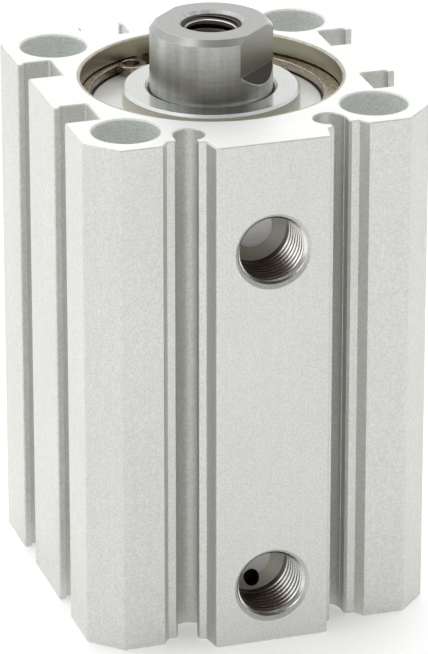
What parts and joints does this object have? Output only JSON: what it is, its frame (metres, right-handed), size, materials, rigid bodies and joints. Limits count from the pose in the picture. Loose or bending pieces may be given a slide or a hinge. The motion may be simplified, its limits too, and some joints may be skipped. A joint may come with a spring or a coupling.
{
  "type": "compact pneumatic cylinder",
  "caption": "Square extruded double-acting compact air cylinder with sensor slots, threaded ports on its front face and a female-threaded rod that slides out of its top.",
  "frame": {"origin": "middle of the flat base, on the axis of the rod", "axes": "+Z along the rod, out of the barrel; the ports face -Y; +X to the right when facing the ports"},
  "size_m": [0.0474, 0.0505, 0.079],
  "materials": {
    "body_anodised": "pale anodised, fine blasted grain",
    "plate_aluminium": "turned",
    "cover_aluminium": "turned, satin anodised",
    "bushing_bronze": "satin",
    "ring_steel": "phosphated spring steel",
    "rod_steel": "turned and ground",
    "piston_aluminium": "turned",
    "screw_steel": "black oxide",
    "magnet_black": "plastic-bonded magnet",
    "wear_ring_plastic": "filled plastic",
    "seal_rubber": "matt nitrile",
    "bumper_rubber": "moulded polyurethane"
  },
  "bodies": {
    "barrel": {"cylinder_body": "body_anodised", "head_plate": "plate_aluminium", "head_plate_o_ring": "seal_rubber", "rod_cover": "cover_aluminium", "rod_cover_o_ring": "seal_rubber", "rod_bushing": "bushing_bronze", "rod_seal": "seal_rubber", "cover_retaining_ring": "ring_steel"},
    "piston_ring_set": {"piston_seal": "seal_rubber", "piston_wear_ring": "wear_ring_plastic"},
    "rod_and_piston": {"piston_rod": "rod_steel", "rod_o_ring": "seal_rubber", "piston": "piston_aluminium", "magnet_holder": "piston_aluminium", "magnet_ring": "magnet_black", "rod_side_bumper": "bumper_rubber", "head_side_bumper": "bumper_rubber", "piston_screw": "screw_steel"}
  },
  "joints": [
    {"name": "rod_stroke", "type": "slide", "parent": "barrel", "child": "piston_ring_set", "axis": [0, 0, 1], "range_m": [0, 0.04]},
    {"name": "rod_turn", "type": "hinge", "parent": "piston_ring_set", "child": "rod_and_piston", "pos_m": [0, 0, 0.0165], "axis": [0, 0, 1], "continuous": true}
  ]
}
